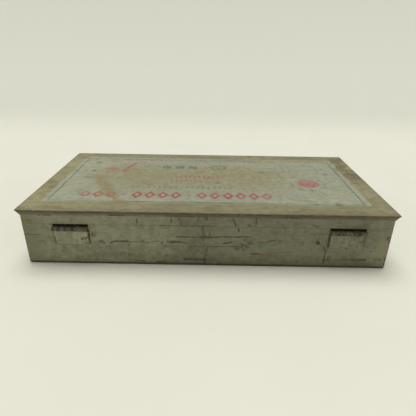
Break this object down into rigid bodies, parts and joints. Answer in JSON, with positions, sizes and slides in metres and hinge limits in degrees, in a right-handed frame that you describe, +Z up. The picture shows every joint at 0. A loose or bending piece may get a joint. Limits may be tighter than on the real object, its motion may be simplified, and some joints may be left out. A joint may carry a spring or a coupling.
{
  "type": "drive hole punch kit",
  "caption": "Shallow hinged sheet-steel kit case with a flared lid rim, swing catches, and drive hole punches lying in a notched steel rack.",
  "frame": {"origin": "middle of the base pan's underside, on the surface the case stands on", "axes": "+X along the width and the hinges' axis, +Y from the hinge wall to the catch wall, +Z up"},
  "size_m": [0.28, 0.1488, 0.0465],
  "materials": {
    "case_paint": "worn satin olive-grey paint",
    "lid_paint": "worn satin paint, silver-grey panel on a tan border",
    "worn_steel": "bare, browned and lightly rusted",
    "rack_steel": "satin olive-grey paint",
    "tool_steel": "turned and ground, lightly tarnished"
  },
  "bodies": {
    "base": {"base_pan": "case_paint", "hinge_lower_leaf_left": "case_paint", "hinge_lower_leaf_right": "case_paint", "hinge_pin_left": "worn_steel", "hinge_pin_right": "worn_steel", "catch_bracket_left": "worn_steel", "catch_bracket_right": "worn_steel", "catch_pin_left": "worn_steel", "catch_pin_right": "worn_steel", "rack_rail_hinge_side": "rack_steel", "rack_rail_catch_side": "rack_steel", "punch_01": "tool_steel", "punch_02": "tool_steel", "punch_03": "tool_steel", "punch_04": "tool_steel", "punch_05": "tool_steel", "punch_06": "tool_steel", "punch_07": "tool_steel", "punch_08": "tool_steel", "punch_09": "tool_steel", "punch_10": "tool_steel", "punch_11": "tool_steel", "punch_12": "tool_steel"},
    "lid": {"lid_pan": "lid_paint", "hinge_upper_leaf_left": "worn_steel", "hinge_upper_leaf_right": "worn_steel", "catch_keeper_left": "worn_steel", "catch_keeper_right": "worn_steel"},
    "hasp_left": {"catch_hasp_left": "worn_steel"},
    "hasp_right": {"catch_hasp_right": "worn_steel"}
  },
  "joints": [
    {"name": "lid_hinge", "type": "hinge", "parent": "base", "child": "lid", "pos_m": [0, -0.07175, 0.0313], "axis": [1, 0, 0], "range_deg": [0, 180]},
    {"name": "hasp_left_swing", "type": "hinge", "parent": "base", "child": "hasp_left", "pos_m": [-0.08, 0.07175, 0.025], "axis": [1, 0, 0], "range_deg": [0, 172]},
    {"name": "hasp_right_swing", "type": "hinge", "parent": "base", "child": "hasp_right", "pos_m": [0.08, 0.07175, 0.025], "axis": [1, 0, 0], "range_deg": [0, 172]}
  ]
}
